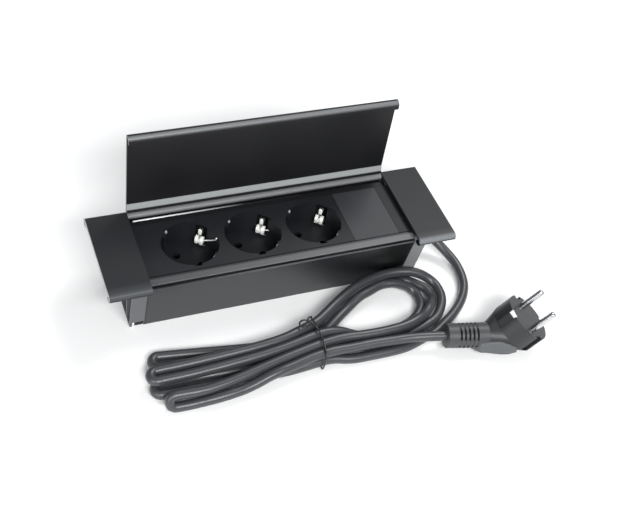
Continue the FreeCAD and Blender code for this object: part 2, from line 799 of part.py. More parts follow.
saddle_length = cell("saddle_length", 4.5)
saddle_height = cell("saddle_height", 5.0)
saddle_x = channel_end - shelf_length / 2 - saddle_length / 2
saddle_z = gland_height + rail_clearance
clamp_ys = [gland_y + k * shelf_depth / 3 for k in (-1, 1)]
saddle = block(saddle_x, gland_y - shelf_depth / 2, saddle_z, saddle_length, shelf_depth,
               cord_radius + saddle_height - rail_clearance)
saddle_holes = [rod(saddle_x, gland_y, gland_height, cord_radius, saddle_length, "x")]
clamp_screws = []
for y in clamp_ys:
    middle = channel_end - shelf_length / 2
    top = gland_height + cord_radius + saddle_height
    saddle_holes.append(rod(middle, y, saddle_z, screw_radius, top - saddle_z))
    shank = rod(middle, y, shelf_top - shelf_thickness, screw_radius, top - shelf_top + shelf_thickness)
    clamp_screws.append(joined([shank, rod(middle, y, top, screw_head_radius, screw_head_height)]))
named(less(saddle, joined(saddle_holes)), "cord_clamp")
named(joined(clamp_screws), "clamp_screws")

gland = new_body("cord_gland")
section = new_sketch(gland, "XY_Plane", gland_height, y=gland_y)
boot_start = channel_end + end_web
rib_pitch = gland_boot / 6
boot = [(channel_end - gland_collar, 0), (channel_end - gland_collar, gland_collar_radius),
        (channel_end, gland_collar_radius), (channel_end, gland_radius),
        (boot_start, gland_radius), (boot_start, gland_collar_radius),
        (boot_start + gland_collar, gland_collar_radius)]
taper = (gland_radius - gland_tip_radius) / 6
for k in range(1, 6):
    boot.append((boot_start + rib_pitch * k - rib_pitch / 8, gland_radius - taper * k))
    boot.append((boot_start + rib_pitch * k, gland_radius - taper * k))
    boot.append((boot_start + rib_pitch * k, gland_radius - taper * k - rib_pitch / 6))
    boot.append((boot_start + rib_pitch * k + rib_pitch / 3, gland_radius - taper * k - rib_pitch / 6))
    boot.append((boot_start + rib_pitch * k + rib_pitch / 3, gland_radius - taper * k))
boot += [(boot_start + gland_boot, gland_tip_radius), (boot_start + gland_boot, 0)]
outline(section, boot)
revolve(gland, section, "H_Axis")


def wire(start, end, radius):
    """A straight conductor between two points of sizes."""
    a = Vector(*[as_size(v).number for v in start])
    b = Vector(*[as_size(v).number for v in end])
    return Part.makeCylinder(radius.number, (b - a).Length, a, b - a)


conductors = []
for k, y in zip((-1, 0, 1), terminal_ys):
    conductors.append(wire((terminal_start + terminal_length, y, wire_z),
                           (jacket_start, gland_y + k * cord_radius / 2, gland_height), wire_radius))
made("supply_wires", Part.makeCompound(conductors))
bus_ys = [module_y - contact_y, module_y, module_y + contact_y]
bus_tops = [bus_bottom + bus_thickness, tray_top + clip_thickness, bus_bottom + bus_thickness]
links = []
for y, bus_y, bus_top in zip(terminal_ys, bus_ys, bus_tops):
    links.append(wire((tray_right + bus_overhang / 2, bus_y, bus_top + wire_radius + module_gap),
                      (terminal_start, y, wire_z), wire_radius))
made("link_wires", Part.makeCompound(links))

# Screws: four hold each end cap, and two from below hold each cover plate.
end_screw_length = cell("end_screw_length", 12.0)
cover_screw_length = cell("cover_screw_length", 3.0)


def screw_along_x(y, z, side):
    shank_start = channel_end + end_web - end_screw_length
    if side < 0:
        shank = rod(-(channel_end + end_web), y, z, screw_radius, end_screw_length, "x")
        head = rod(-(channel_end + end_web + screw_head_height), y, z, screw_head_radius,
                   screw_head_height, "x")
    else:
        shank = rod(shank_start, y, z, screw_radius, end_screw_length, "x")
        head = rod(channel_end + end_web, y, z, screw_head_radius, screw_head_height, "x")
    return joined([shank, head])


named(joined([screw_along_x(y, z, side) for y, z in boss_spots() for side in (1, -1)]), "end_cap_screws")

cover_screws = []
for y in cover_boss_ys:
    for side in (1, -1):
        shank_bottom = cover_underside - cover_boss_height
        shank = rod(side * cover_boss_x, y, shank_bottom, screw_radius, cover_screw_length)
        head = rod(side * cover_boss_x, y, shank_bottom - screw_head_height, screw_head_radius,
                   screw_head_height)
        cover_screws.append(joined([shank, head]))
named(joined(cover_screws), "cover_screws")

# The cord lies on the surface in front of the strip. Its free lead has a route of chosen points.
LEAD_ROUTE = [(114.5, 3.9, 19.0), (121.3, 2.0, 18.0), (127.1, -1.4, 15.6), (132.4, -6.8, 11.8),
              (137.2, -14.6, 8.5), (140.6, -23.8, 6.4), (141.5, -33.5, 4.9), (140.0, -43.3, 4.1),
              (135.7, -52.5, 3.7), (127.9, -61.8, 3.6), (117.6, -70.4, 3.6), (105.2, -77.9, 3.6)]


def route_wire(points):
    """Straight runs joined by tangent arcs, each as large as its two runs allow."""
    points = [Vector(*p) for p in points]
    edges = []
    radii = []
    last = points[0]
    for before, corner, after in zip(points, points[1:], points[2:]):
        into = corner - before
        out = after - corner
        turn = into.getAngle(out)
        reach = 0.45 * min(into.Length, out.Length)
        radii.append(reach / math.tan(turn / 2))
        start = corner - into.normalize() * reach
        end = corner + out.normalize() * reach
        toward = ((start + end) * 0.5 - corner).normalize()
        centre = corner + toward * (radii[-1] / math.cos(turn / 2))
        middle = centre + (corner - centre).normalize() * radii[-1]
        edges.append(Part.LineSegment(last, start).toShape())
        edges.append(Part.Arc(start, middle, end).toShape())
        last = end
    edges.append(Part.LineSegment(last, points[-1]).toShape())
    return Part.Wire(edges), radii


def tube(path, radius):
    """A round tube along a smooth wire of lines and arcs."""
    edge = path.Edges[0]
    start = edge.valueAt(edge.FirstParameter)
    heading = edge.tangentAt(edge.FirstParameter)
    ring = Part.Wire([Part.Circle(start, heading, radius).toShape()])
    return path.makePipeShell([ring], True, False)


def solid_of(shape):
    return shape.Solids[0] if shape.Solids else Part.Solid(shape.Shells[0])


lead_path, lead_radii = route_wire(LEAD_ROUTE)
lead = solid_of(tube(lead_path, cord_radius.number))
lead_volume = math.pi * cord_radius.number ** 2 * lead_path.Length
print("cord lead: length %.1f, radii %s, volume ratio %.4f" % (
    lead_path.Length, " ".join("%.0f" % r for r in lead_radii), lead.Volume / lead_volume))
made("cord_lead", lead)

# The rest of the cord is folded into a hank and tied at its waist. Left of the tie are four
# bights, two on the surface and two on top of them; right of it are three open loops.
TIE_X = 10.0
FLOOR_Z, UPPER_Z = 3.6, 11.2
TIE_LIFT = 1.5
TIE_ROWS = {"low": ((-59.0, 16), (-67.2, 15), (-76.9, 9.5), (-86.2, 5)),
            "high": ((-60.4, 17), (-69.2, 13.5), (-77.6, 10), (-85.7, 5))}
BIGHT_RADIUS = 4.3
BIGHTS = {"rear_low": (-100.5, -57.4, -8, 3.6, 3.6), "front_low": (-104.5, -79.8, -2, 3.6, 3.6),
          "rear_high": (-106.0, -74.3, 0, 11.2, 11.2), "front_high": (-98.5, -93.8, -3, 11.3, 3.6)}
OUTER_LOOP = [(28.8, -49.5, 12.0, 34), (58.7, -32.6, 11.2, 20), (95.0, -28.4, 11.2, -10),
              (118.0, -46.0, 3.6, -90), (109.6, -64.8, 3.6, -132), (84.0, -77.6, 3.6, -162),
              (58.0, -81.8, 3.6, 182)]
MIDDLE_LOOP = [(34.9, -43.0, 3.6, 30), (78.0, -30.6, 3.6, 2), (102.2, -35.0, 3.6, -46),
               (109.4, -46.0, 3.6, -90), (98.0, -66.0, 9.4, -136), (84.0, -74.0, 11.4, -160),
               (60.0, -77.6, 11.6, 180)]
INNER_LOOP = [(39.4, -51.0, 7.6, 33), (58.0, -41.8, 11.2, 18), (78.0, -36.6, 11.2, -4),
              (99.6, -49.4, 4.0, -90),
              (83.3, -69.0, 3.6, -158), (58.0, -73.5, 3.6, 180)]
FRONT_STRAND = [(88.0, -84.5, 3.6, 198), (67.0, -89.4, 3.6, 183), (37.0, -89.2, 3.6, 178)]
TOP_STRAND = [(37.7, -85.4, 11.8, 0), (67.0, -86.6, 11.2, -4)]


def arc_pair(p, u, q, v):
    """Two tangent arcs that leave p along u and reach q along v."""
    chord = q - p
    both = u + v
    rest = 2 * (1 - u.dot(v))
    along = chord.dot(both)
    if rest < 1e-9:
        reach = chord.dot(chord) / (4 * chord.dot(v))
    else:
        reach = (math.sqrt(along ** 2 + rest * chord.dot(chord)) - along) / rest
    middle = (p + u * reach + q - v * reach) * 0.5
    return [(p, p + u * reach, middle), (middle, q - v * reach, q)]


def arc_edge(start, corner, end):
    """The arc that is tangent to start-corner and corner-end."""
    share = (corner - start).normalize().dot((end - start).normalize())
    if share > 1 - 1e-7:
        return Part.LineSegment(start, end).toShape()
    middle = (start + corner * (2 * share) + end) * (1 / (2 + 2 * share))
    return Part.Arc(start, middle, end).toShape()


def heading(degrees):
    angle = math.radians(degrees)
    return Vector(math.cos(angle), math.sin(angle), 0)


def knot(x, y, z, degrees):
    return Vector(x, y, z), heading(degrees)


def backwards(run):
    return [(spot, -course) for spot, course in reversed(run)]


def tie_knot(row, layer):
    """A strand's place at the tie, running to the right."""
    y, lean = TIE_ROWS[layer][row]
    z = (FLOOR_Z if layer == "low" else UPPER_Z) + TIE_LIFT
    return [knot(TIE_X, y, z, lean)]


def bight(name):
    """A narrow fold at the left end, entered along its front strand and left along its rear one."""
    x, y, tilt, rear_z, front_z = BIGHTS[name]
    rise = (rear_z - front_z) / 2
    across = heading(tilt + 90) * math.sqrt(BIGHT_RADIUS ** 2 - rise ** 2) + Vector(0, 0, rise)
    tip = Vector(x, y, (rear_z + front_z) / 2)
    middle = tip + heading(tilt) * BIGHT_RADIUS
    return [(middle - across, heading(tilt + 180)), (tip, Vector(across).normalize()),
            (middle + across, heading(tilt))]


def run(points):
    return [knot(*point) for point in points]


plug_axis = Vector(0.562, -0.110, 0.820).normalize()
cord_axis = Vector(-0.980, 0.194, 0.034).normalize()
cable_side = Vector(-0.827, -0.069, 0.558)
plug_side = (cable_side - plug_axis * cable_side.dot(plug_axis)).normalize()
PLUG_NECK = Vector(128.9, -97.9, 10.3)
relief_length = cell("relief_length", 29.6)
relief_end = PLUG_NECK + cord_axis * relief_length.number

LEAD_END = Vector(*LEAD_ROUTE[-1])
lead_course = (LEAD_END - Vector(*LEAD_ROUTE[-2])).normalize()
stub = cord_radius.number * 2
knots = [(LEAD_END + lead_course * stub, lead_course)] + run(FRONT_STRAND)
knots += backwards(tie_knot(3, "low")) + bight("front_low") + tie_knot(2, "low")
knots += backwards(run(OUTER_LOOP))
knots += backwards(tie_knot(0, "high")) + backwards(bight("rear_high")) + tie_knot(1, "high")
knots += backwards(run(INNER_LOOP))
knots += backwards(tie_knot(1, "low")) + bight("rear_low") + tie_knot(0, "low")
knots += run(MIDDLE_LOOP)
knots += backwards(tie_knot(2, "high")) + backwards(bight("front_high"))
knots += [knot(-55, -97.2, 7.4, 7), knot(-18, -90.7, 12.3, 11)] + tie_knot(3, "high") + run(TOP_STRAND)
knots.append((relief_end + cord_axis * stub, -cord_axis))
hank_arcs = []
for (p, u), (q, v) in zip(knots, knots[1:]):
    hank_arcs += arc_pair(p, u, q, v)
hank_edges = [Part.LineSegment(LEAD_END, knots[0][0]).toShape()]
hank_edges += [arc_edge(*corners) for corners in hank_arcs]
hank_edges.append(Part.LineSegment(knots[-1][0], relief_end).toShape())
hank_path = Part.Wire(hank_edges)


def least_gap(edges, diameter, spacing=2.0):
    """The least free space between stretches that are not neighbours along the cord."""
    spots = []
    travelled = 0.0
    for edge in edges:
        steps = max(1, int(edge.Length / spacing))
        for k in range(steps):
            t = edge.FirstParameter + (edge.LastParameter - edge.FirstParameter) * k / steps
            spots.append((travelled + edge.Length * k / steps, edge.valueAt(t)))
        travelled += edge.Length
    best = (1e9, None, None)
    for i, (s, p) in enumerate(spots):
        for t, q in spots[i + 1:]:
            if t - s > math.pi * diameter * 0.7:
                gap = (p - q).Length
                if gap < best[0]:
                    best = (gap, p, q)
    return best[0] - diameter, best[1], best[2]


gap, gap_from, gap_to = least_gap(hank_edges, stub)
print("cord hank: length %.0f, least gap %.2f at %s and %s" % (
    hank_path.Length, gap, [round(v, 1) for v in gap_from], [round(v, 1) for v in gap_to]))
bends = sorted(edge.Curve.Radius for edge in hank_edges if hasattr(edge.Curve, "Radius"))
print("tightest bends in the hank: %s" % " ".join("%.1f" % r for r in bends[:10]))
hank = solid_of(tube(hank_path, cord_radius.number))
hank_volume = math.pi * cord_radius.number ** 2 * hank_path.Length
print("cord hank: volume ratio %.4f, valid %s" % (hank.Volume / hank_volume, hank.isValid()))
made("cord_hank", hank)

# A thin wire tie holds the waist: one closed ring with two twisted ends.
tie_wire = cell("tie_wire", 0.6)
tie_gap = cell("tie_gap", 0.5)


def tie_ring():
    """A rounded rectangle of wire that stands round the strands."""
    reach = cord_radius.number + tie_gap.number + tie_wire.number
    low_z = tie_wire.number + 0.1
    high_z = UPPER_Z + TIE_LIFT + reach
    front_y = TIE_ROWS["low"][3][0] - reach
    rear_y = TIE_ROWS["low"][0][0] + reach
    corner = cord_radius.number
    corners = [Vector(TIE_X, front_y, low_z), Vector(TIE_X, rear_y, low_z),
               Vector(TIE_X, rear_y, high_z), Vector(TIE_X, front_y, high_z)]
    edges = []
    for k in range(4):
        before, spot, after = corners[k - 1], corners[k], corners[(k + 1) % 4]
        start = spot + (before - spot).normalize() * corner
        end = spot + (after - spot).normalize() * corner
        edges.append(arc_edge(start, spot, end))
        following = corners[(k + 1) % 4]
        beyond = following + (spot - following).normalize() * corner
        edges.append(Part.LineSegment(end, beyond).toShape())
    return Part.Wire(edges), Vector(TIE_X, rear_y - corner * 2, high_z)


ring_path, twist_start = tie_ring()
ring = solid_of(tube(ring_path, tie_wire.number))
ends = []
for side in (-1, 1):
    end_path, unused_radii = route_wire([
        tuple(twist_start), tuple(twist_start + Vector(side * 2.0, 1.5, 3.0)),
        tuple(twist_start + Vector(side * 4.5, 7.0, 4.0))])
    ends.append(solid_of(tube(end_path, tie_wire.number)))
made("twist_tie", ring.multiFuse(ends))

# The plug: its body is drawn with the pins along +Z, the contact face at height 0, and the cord
# leaving towards +X and down.
face_radius = cell("face_radius", 18.6)
engage_depth = cell("engage_depth", 14.5)
neck_across = cell("neck_across", 17.6)
neck_back = cell("neck_back", 27.5)
neck_radius = cell("neck_radius", 9.2)
plug_notch_width = cell("plug_notch_width", 6.0)
plug_notch_depth = cell("plug_notch_depth", 2.6)
pin_length = cell("pin_length", 19.0)
plug_pin_radius = cell("plug_pin_radius", 2.4)
pin_root = cell("pin_root", 6.0)
pin_root_radius = cell("pin_root_radius", 1.9)
pin_tip_round = cell("pin_tip_round", 1.6)
earth_width = cell("earth_width", 6.0)
earth_thickness = cell("earth_thickness", 1.0)
plug_turn = FreeCAD.Rotation(plug_side, plug_axis.cross(plug_side), plug_axis, "ZXY")
neck_turn = FreeCAD.Rotation(Vector(0, 0, -1), plug_turn.inverted().multVec(cord_axis))
neck_local = Vector(neck_across.number, 0, -neck_back.number)
plug_place = FreeCAD.Placement(PLUG_NECK - plug_turn.multVec(neck_local), plug_turn)

plug = new_body("plug_body")
section = new_sketch(plug, "XY_Plane", -engage_depth)
circle(section, 0, 0, face_radius)
pad(plug, section, engage_depth)
bottom = new_sketch(plug, "XY_Plane", -engage_depth)
circle(bottom, 0, 0, face_radius)
top = new_sketch(plug, "XY_Plane")
circle(top, 0, 0, neck_radius)
top.AttachmentOffset = FreeCAD.Placement(Vector(0, 0, 0), neck_turn)
bind(top, "AttachmentOffset.Base.x", neck_across)
bind(top, "AttachmentOffset.Base.z", -neck_back)
loft = plug.newObject("PartDesign::AdditiveLoft", "plug_shoulder")
loft.Profile = bottom
loft.Sections = [top]
section = new_sketch(plug, "XY_Plane")
for side in (1, -1):
    rectangle(section, -plug_notch_width / 2, side * (face_radius - plug_notch_depth),
              plug_notch_width / 2, side * (face_radius + plug_notch_depth))
pocket(plug, section, engage_depth)
section = new_sketch(plug, "XY_Plane")
for side in (1, -1):
    rectangle(section, side * (face_radius - earth_thickness * 2), -earth_width / 2,
              side * (face_radius + earth_thickness), earth_width / 2)
pocket(plug, section, engage_depth)
section = new_sketch(plug, "XY_Plane")
for side in (1, -1):
    circle(section, 0, side * contact_pitch / 2, pin_root_radius)
pocket(plug, section, pin_root)
plug.Placement = plug_place

# Each pin has a thinner root in the body and a rounded tip.
pins = new_body("plug_pins")
pin_flank = pin_length - pin_tip_round
tip_flat = plug_pin_radius - pin_tip_round
for side in (1, -1):
    section = new_sketch(pins, "YZ_Plane", x=side * contact_pitch / 2)
    outline(section, [
        (0, -pin_root), (pin_root_radius, -pin_root), (pin_root_radius, 0), (plug_pin_radius, 0),
        (plug_pin_radius, pin_flank), (tip_flat, pin_length, pin_tip_round, 1), (0, pin_length)])
    revolve(pins, section, "V_Axis")
pins.Placement = plug_place

earths = new_body("plug_earth_contacts")
section = new_sketch(earths, "XY_Plane", -engage_depth)
for side in (1, -1):
    rectangle(section, side * (face_radius - earth_thickness * 2), -earth_width / 2,
              side * (face_radius - earth_thickness), earth_width / 2)
pad(earths, section, engage_depth)
earths.Placement = plug_place

# The ribbed strain relief: a turned sleeve with five ring grooves, bridged by four webs.
relief_radius = cell("relief_radius", 9.2)
relief_tip = cell("relief_tip", 8.6)
relief_groove = cell("relief_groove", 1.6)
relief_groove_depth = cell("relief_groove_depth", 2.8)
relief_pitch = cell("relief_pitch", 3.1)
relief_first = cell("relief_first", 7.8)
web_width = cell("web_width", 4.4)
relief = new_body("plug_strain_relief")
section = new_sketch(relief, "XZ_Plane")
profile = [(0, 0), (neck_radius, 0)]
taper = (relief_radius - relief_tip) / relief_length
for k in range(5):
    z = relief_first + relief_pitch * k
    outer = relief_radius - taper * z
    profile += [(outer, z), (outer - relief_groove_depth, z),
                (outer - relief_groove_depth, z + relief_groove), (outer, z + relief_groove)]
profile += [(relief_tip, relief_length), (0, relief_length)]
outline(section, profile)
revolve(relief, section, "V_Axis")
section = new_sketch(relief, "XY_Plane", relief_first - relief_groove)
rectangle(section, relief_tip / 2, -web_width / 2, relief_tip - taper * relief_pitch, web_width / 2)
web = pad(relief, section, relief_pitch * 5)
repeat_round(relief, [web], 4)
relief.Placement = FreeCAD.Placement(PLUG_NECK, FreeCAD.Rotation(Vector(0, 0, 1), cord_axis))

# Rebuild, test and write every part.
doc.recompute()
faults = [item.Name for item in doc.Objects if "Invalid" in item.State or "Error" in item.State]
for part in parts:
    if part.Shape.isNull() or not part.Shape.isValid():
        faults.append(part.Label)
for feature in cuts:
    if feature.Shape.Volume > feature.BaseFeature.Shape.Volume - 0.01:
        faults.append(feature.Name + " cuts nothing")
if faults:
    raise RuntimeError("faulty: " + ", ".join(faults))
os.makedirs("parts", exist_ok=True)
for part in parts:
    part.Shape.exportStep("parts/" + part.Label + ".step")
print("%d parts" % len(parts))
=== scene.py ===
import bpy
import bmesh
import math
from mathutils import Matrix, Vector


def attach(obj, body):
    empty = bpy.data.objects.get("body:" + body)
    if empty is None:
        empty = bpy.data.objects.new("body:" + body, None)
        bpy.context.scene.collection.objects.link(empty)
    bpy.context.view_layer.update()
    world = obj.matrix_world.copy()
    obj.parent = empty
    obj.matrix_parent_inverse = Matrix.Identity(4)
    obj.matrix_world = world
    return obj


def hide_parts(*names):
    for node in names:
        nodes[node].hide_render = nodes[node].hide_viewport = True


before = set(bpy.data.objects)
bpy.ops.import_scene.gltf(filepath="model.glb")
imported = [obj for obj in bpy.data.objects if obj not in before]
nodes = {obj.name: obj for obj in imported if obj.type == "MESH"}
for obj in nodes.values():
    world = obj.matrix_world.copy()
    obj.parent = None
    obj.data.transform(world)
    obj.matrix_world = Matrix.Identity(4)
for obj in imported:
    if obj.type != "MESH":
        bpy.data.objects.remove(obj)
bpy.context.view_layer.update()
scene = bpy.context.scene

# The camera stands in front of the strip's left end and looks down on it, from where the
# photograph was taken. Its rows are the directions to the right, down and forward.
CAMERA_PLACE = (-0.22119, -0.46847, 0.56878)
RIGHT = Vector((0.92593, -0.35151, 0.13817))
DOWN = Vector((-0.16953, -0.71371, -0.67962))
FORWARD = Vector((0.33750, 0.60585, -0.72044))
camera_data = bpy.data.cameras.new("camera")
camera_data.sensor_width = 36.0
camera_data.lens = 59.34
camera_data.clip_start = 0.05
camera_data.clip_end = 20.0
camera = bpy.data.objects.new("camera", camera_data)
scene.collection.objects.link(camera)
camera.matrix_world = Matrix.Translation(CAMERA_PLACE) @ Matrix(
    (RIGHT, -DOWN, -FORWARD)).transposed().to_4x4()
scene.camera = camera
scene.view_settings.view_transform = "Standard"

# The channel is an extruded profile with a satin charcoal coat. A cap of moulded plastic is
# screwed to each of its ends, and the cord leaves through the right one.
# A near black for dark seams, and for painted shade on the covers' underside.
SEAM_AND_SHADE_BLACK = (0.002, 0.002, 0.002)
FIRST_COLOUR, SECOND_COLOUR, MIXED_COLOUR = 6, 7, 2     # sockets of a mix node set to colours


def finish(name, tone, second, rough, metallic=0.0, specular=0.5, grain=900.0, bump=0.15,
           spread=25.0, rough_spread=0.08, coat=0.0):
    """A finish whose tone, gloss and grain wander a little over the surface. The pattern is in
    object space, so it stays put when a body moves."""
    material = bpy.data.materials.new(name)
    material.use_nodes = True
    tree = material.node_tree
    shader = tree.nodes["Principled BSDF"]
    shader.inputs["Metallic"].default_value = metallic
    shader.inputs["Specular IOR Level"].default_value = specular
    shader.inputs["Coat Weight"].default_value = coat
    shader.inputs["Coat Roughness"].default_value = 0.25
    place = tree.nodes.new("ShaderNodeTexCoord")
    broad = tree.nodes.new("ShaderNodeTexNoise")
    broad.inputs["Scale"].default_value = spread
    broad.inputs["Detail"].default_value = 4.0
    tree.links.new(place.outputs["Object"], broad.inputs["Vector"])
    mix = tree.nodes.new("ShaderNodeMix")
    mix.data_type = "RGBA"
    mix.inputs[FIRST_COLOUR].default_value = (*tone, 1)
    mix.inputs[SECOND_COLOUR].default_value = (*second, 1)
    tree.links.new(broad.outputs["Fac"], mix.inputs["Factor"])
    tree.links.new(mix.outputs[MIXED_COLOUR], shader.inputs["Base Color"])
    gloss = tree.nodes.new("ShaderNodeMapRange")
    gloss.inputs["To Min"].default_value = rough - rough_spread
    gloss.inputs["To Max"].default_value = rough + rough_spread
    tree.links.new(broad.outputs["Fac"], gloss.inputs["Value"])
    tree.links.new(gloss.outputs["Result"], shader.inputs["Roughness"])
    fine = tree.nodes.new("ShaderNodeTexNoise")
    fine.inputs["Scale"].default_value = grain
    fine.inputs["Detail"].default_value = 2.0
    tree.links.new(place.outputs["Object"], fine.inputs["Vector"])
    relief = tree.nodes.new("ShaderNodeBump")
    relief.inputs["Strength"].default_value = bump
    relief.inputs["Distance"].default_value = 0.0001
    tree.links.new(fine.outputs["Fac"], relief.inputs["Height"])
    tree.links.new(relief.outputs["Normal"], shader.inputs["Normal"])
    return material


def banded(material, tone, *steps):
    """A further tone in one part of object space. Each step names an axis, the place where the
    tone begins and the place where it is full; the tone shows where all the steps meet."""
    tree = material.node_tree
    shader = tree.nodes["Principled BSDF"]
    before = shader.inputs["Base Color"].links[0].from_socket
    place = tree.nodes["Texture Coordinate"]
    split = tree.nodes.new("ShaderNodeSeparateXYZ")
    tree.links.new(place.outputs["Object"], split.inputs["Vector"])
    share = None
    for axis, outside, inside in steps:
        ramp = tree.nodes.new("ShaderNodeMapRange")
        ramp.inputs["From Min"].default_value = outside
        ramp.inputs["From Max"].default_value = inside
        tree.links.new(split.outputs[axis], ramp.inputs["Value"])
        if share is None:
            share = ramp.outputs["Result"]
        else:
            both = tree.nodes.new("ShaderNodeMath")
            both.operation = "MULTIPLY"
            tree.links.new(share, both.inputs[0])
            tree.links.new(ramp.outputs["Result"], both.inputs[1])
            share = both.outputs["Value"]
    mix = tree.nodes.new("ShaderNodeMix")
    mix.data_type = "RGBA"
    mix.inputs[SECOND_COLOUR].default_value = (*tone, 1)
    tree.links.new(before, mix.inputs[FIRST_COLOUR])
    tree.links.new(share, mix.inputs["Factor"])
    tree.links.new(mix.outputs[MIXED_COLOUR], shader.inputs["Base Color"])


def dress(material, *names):
    for name in names:
        for slot in nodes[name].material_slots:
            slot.link = "OBJECT"
            slot.material = material


# The front wall is painted darker towards its right end, a painted reflection of the dark cord
# in front of it, and its top edge carries a painted highlight from the middle to the right.
channel_coat = finish("channel_coat", (0.016, 0.018, 0.021), (0.022, 0.024, 0.028), rough=0.32,
                      specular=0.34)
banded(channel_coat, (0.0015, 0.0018, 0.002), ("X", 0.005, 0.080), ("Y", 0.0, -0.010))
banded(channel_coat, (0.12, 0.125, 0.13), ("Z", 0.0433, 0.0437), ("X", -0.080, -0.020))
dress(channel_coat, "housing_profile")

# The right cap is painted paler than the left one, as painted light, and a dark seam parts each
# from the channel.
cap_plastic = finish("cap_plastic", (0.085, 0.090, 0.096), (0.110, 0.115, 0.121), rough=0.5,
                     specular=0.4)
banded(cap_plastic, (0.20, 0.205, 0.21), ("X", 0.080, 0.090))
banded(cap_plastic, SEAM_AND_SHADE_BLACK, ("X", 0.0968, 0.0965), ("X", 0.090, 0.091))
banded(cap_plastic, (0.010, 0.010, 0.011), ("X", -0.0972, -0.0968), ("X", -0.090, -0.091))
dress(cap_plastic, "left_end_cap", "right_end_cap")

# A black block fills the notch at the foot of the left cap, as painted shade for the notch's
# dark inside.
# Its outline lies in Y and Z, and its outer edge carries a painted glint.
ALONG_X = Matrix(((0, 0, 1, 0), (1, 0, 0, 0), (0, 1, 0, 0), (0, 0, 0, 1)))


def prism(grid, outline, start, end, axes):
    """A prism of an outline, from start to end along the third of its axes."""
    rings = []
    for along in (start, end):
        rings.append([grid.verts.new(axes @ Vector((a, b, along))) for a, b in outline])
    grid.faces.new(rings[0][::-1])
    grid.faces.new(rings[1])
    for k in range(len(outline)):
        following = (k + 1) % len(outline)
        grid.faces.new((rings[0][k], rings[0][following], rings[1][following], rings[1][k]))


def add_piece(name, grid, material, bevel):
    """One rigid piece with rounded edges, which is fixed to the housing."""
    bmesh.ops.recalc_face_normals(grid, faces=grid.faces)
    mesh = bpy.data.meshes.new(name)
    grid.to_mesh(mesh)
    grid.free()
    mesh.materials.append(material)
    for face in mesh.polygons:
        face.use_smooth = True
    piece = bpy.data.objects.new(name, mesh)
    scene.collection.objects.link(piece)
    edge = piece.modifiers.new("edge", "BEVEL")
    edge.width = bevel
    edge.segments = 3
    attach(piece, "housing")


black_and_notch_shade = finish("black_and_notch_shade", (0.004, 0.004, 0.005), (0.007, 0.007, 0.008), rough=0.6,
                     specular=0.3)
banded(black_and_notch_shade, (0.80, 0.80, 0.80), ("X", -0.1036, -0.1043))
NOTCH_SHADE_OUTLINE = [(-0.0217, 0.0003), (-0.0190, 0.0003), (-0.0190, 0.0047), (-0.0224, 0.0047),
                (-0.0221, 0.0024)]
grid = bmesh.new()
prism(grid, NOTCH_SHADE_OUTLINE, start=-0.1052, end=-0.0977, axes=ALONG_X)
add_piece("left_notch_shade", grid, black_and_notch_shade, bevel=0.0004)

# Inside the channel a black tray holds the three strips of brass that join the sockets. The
# cord's wires end in a block of pale plastic, and steel screws hold these and the outer parts.
dress(black_and_notch_shade, "contact_tray")
inner_plastic = finish("inner_plastic", (0.62, 0.61, 0.56), (0.70, 0.69, 0.64), rough=0.5)
dress(inner_plastic, "terminal_block", "cord_clamp")
bus_brass = finish("bus_brass", (0.76, 0.58, 0.28), (0.66, 0.50, 0.24), rough=0.3, metallic=1.0)
dress(bus_brass, "line_bus", "neutral_bus", "earth_bus")
wire_jacket = finish("wire_jacket", (0.20, 0.10, 0.05), (0.10, 0.12, 0.30), rough=0.4,
                     spread=60.0)
dress(wire_jacket, "supply_wires", "link_wires")
screw_steel = finish("screw_steel", (0.56, 0.56, 0.58), (0.46, 0.46, 0.48), rough=0.3,
                     metallic=1.0)
dress(screw_steel, "terminal_screws", "clamp_screws", "end_cap_screws", "cover_screws",
      "hinge_pins")

# Two extruded rails hold the deck between them. The front one's top shows the coat, with painted
# light growing to the right;
# the rest of them is painted in shade, but for a painted highlight along the rear one.
rail_coat = finish("rail_coat", (0.060, 0.063, 0.067), (0.072, 0.075, 0.079), rough=0.38,
                   specular=0.3)
banded(rail_coat, (0.115, 0.119, 0.123), ("X", -0.080, 0.060))
banded(rail_coat, (0.001, 0.001, 0.001), ("Z", 0.0477, 0.0475))
banded(rail_coat, (0.006, 0.006, 0.007), ("Y", -0.0236, -0.0230))
banded(rail_coat, (0.055, 0.058, 0.061), ("Y", 0.0230, 0.0233), ("Y", 0.0252, 0.0249))
dress(rail_coat, "front_rail", "rear_rail")

# A narrow bead stands along the rear rail, of the same metal. It carries a painted highlight,
# bright at the left, and fades into the coat to the right.
BEAD_OUTLINE = [(0.02915, 0.04795), (0.03040, 0.04795), (0.03040, 0.04812), (0.03010, 0.04826),
                (0.02945, 0.04826), (0.02915, 0.04812)]
bead_highlight = finish("bead_highlight", (0.85, 0.86, 0.87), (0.95, 0.95, 0.95), rough=0.35,
                    specular=0.6, grain=700.0)
banded(bead_highlight, (0.004, 0.004, 0.005), ("X", -0.076, -0.012))
grid = bmesh.new()
prism(grid, BEAD_OUTLINE, start=-0.0925, end=0.0300, axes=ALONG_X)
add_piece("rear_bead", grid, bead_highlight, bevel=0.0001)

# A black strip closes the slit under the lid's barrel, as painted shade in the slit. It is cut
# from an extruded strip and lies in the rear rail, from one cover plate to the other.
SLIT_SHADE_OUTLINE = [(0.02975, 0.0430), (0.0352, 0.0433), (0.0354, 0.0440), (0.02975, 0.0440)]
slit_shade_black = finish("slit_shade_black", (0.010, 0.010, 0.011), (0.016, 0.016, 0.017), rough=0.6,
                     specular=0.3)
grid = bmesh.new()
prism(grid, SLIT_SHADE_OUTLINE, start=-0.0995, end=0.0995, axes=ALONG_X)
add_piece("rear_slit_shade", grid, slit_shade_black, bevel=0.0002)

